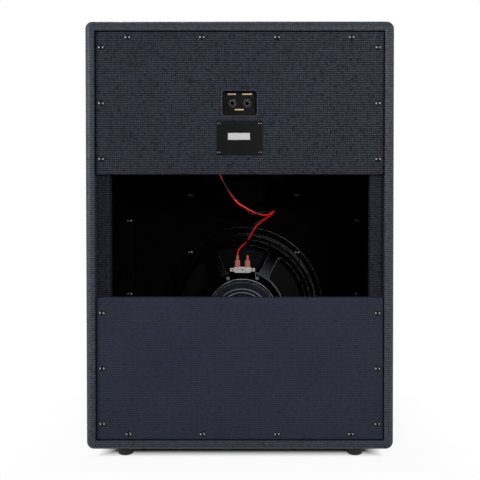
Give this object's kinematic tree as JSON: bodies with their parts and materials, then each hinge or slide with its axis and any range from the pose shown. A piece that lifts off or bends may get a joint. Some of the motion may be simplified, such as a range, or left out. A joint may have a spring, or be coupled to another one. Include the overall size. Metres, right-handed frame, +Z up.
{
  "type": "guitar speaker cabinet",
  "caption": "Upright open-backed guitar speaker cabinet in dark textured vinyl, with screwed back panels, a recessed jack plate, baffle-mounted speakers, a front grille and rubber feet.",
  "frame": {"origin": "on the floor, below the middle of the case", "axes": "+Z up, +Y out of the open rear, -Y out of the front grille, +X to the right when looking along +Y"},
  "size_m": [0.514, 0.286, 0.73],
  "materials": {
    "plywood": "matt black paint on plywood",
    "black_wood": "matt black paint on wood",
    "vinyl": "textured vinyl cloth",
    "foot_rubber": "matt moulded rubber",
    "black_screw": "blackened steel",
    "grille_fabric": "woven cloth",
    "black_plate": "satin black",
    "black_plastic": "moulded",
    "contact_brass": "plated spring brass",
    "basket_paint": "satin black paint on pressed steel",
    "gasket_board": "pressed board",
    "cone_paper": "ribbed pressed paper",
    "doped_cloth": "doped cloth",
    "coil_metal": "wound former",
    "plated_steel": "black passivated steel, worn bright at the edges",
    "ferrite": "fired ferrite",
    "terminal_fibre": "pale fibre strip",
    "spade_sleeve": "soft insulating sleeve",
    "red_pvc": "smooth insulation",
    "black_pvc": "smooth insulation"
  },
  "bodies": {
    "cabinet": {"back_panel_screws": "black_screw", "baffle_cleat_left": "black_wood", "baffle_cleat_right": "black_wood", "baffle_screws": "black_screw", "black_wire": "black_pvc", "bottom_board": "plywood", "case_covering": "vinyl", "foot_screws": "black_screw", "grille_cloth": "grille_fabric", "grille_frame": "plywood", "grille_pads": "grille_fabric", "input_jack_body": "black_plastic", "jack_nuts": "black_plastic", "jack_plate": "black_plate", "jack_plate_screws": "black_screw", "label_plate": "black_plate", "label_plate_screws": "black_screw", "left_side_board": "plywood", "link_jack_body": "black_plastic", "lower_back_panel": "plywood", "lower_back_plate": "plated_steel", "lower_baffle_board": "plywood", "lower_basket": "basket_paint", "lower_front_plate": "plated_steel", "lower_gasket": "gasket_board", "lower_magnet": "ferrite", "lower_panel_covering": "vinyl", "lower_spider": "doped_cloth", "lower_surround": "doped_cloth", "lower_terminal_strip": "terminal_fibre", "rear_cleat_bottom": "black_wood", "rear_cleat_left": "black_wood", "rear_cleat_right": "black_wood", "rear_cleat_top": "black_wood", "red_wire": "red_pvc", "right_side_board": "plywood", "rubber_feet": "foot_rubber", "spade_connectors": "spade_sleeve", "speaker_screws": "black_screw", "top_board": "plywood", "upper_back_panel": "plywood", "upper_back_plate": "plated_steel", "upper_baffle_board": "plywood", "upper_basket": "basket_paint", "upper_front_plate": "plated_steel", "upper_gasket": "gasket_board", "upper_magnet": "ferrite", "upper_panel_covering": "vinyl", "upper_spider": "doped_cloth", "upper_surround": "doped_cloth", "upper_terminal_strip": "terminal_fibre"},
    "lower_cone_assembly": {"lower_cone": "cone_paper", "lower_dust_cap": "cone_paper", "lower_voice_coil": "coil_metal"},
    "upper_cone_assembly": {"upper_cone": "cone_paper", "upper_dust_cap": "cone_paper", "upper_voice_coil": "coil_metal"},
    "input_jack_contact": {"input_jack_spring": "contact_brass"},
    "link_jack_contact": {"link_jack_spring": "contact_brass"}
  },
  "joints": [
    {"name": "lower_cone_travel", "type": "slide", "parent": "cabinet", "child": "lower_cone_assembly", "axis": [0, 1, 0], "range_m": [-0.004, 0.004], "stiffness_N_per_m": 6000, "deforming": ["lower_surround", "lower_spider"]},
    {"name": "upper_cone_travel", "type": "slide", "parent": "cabinet", "child": "upper_cone_assembly", "axis": [0, 1, 0], "range_m": [-0.004, 0.004], "stiffness_N_per_m": 6000, "deforming": ["upper_surround", "upper_spider"]},
    {"name": "input_contact_lift", "type": "hinge", "parent": "cabinet", "child": "input_jack_contact", "pos_m": [0.0125, 0.1057, 0.6029], "axis": [1, 0, 0], "range_deg": [0, 8], "stiffness_Nm_per_rad": 0.05},
    {"name": "link_contact_lift", "type": "hinge", "parent": "cabinet", "child": "link_jack_contact", "pos_m": [-0.0125, 0.1057, 0.6029], "axis": [1, 0, 0], "range_deg": [0, 8], "stiffness_Nm_per_rad": 0.05}
  ]
}
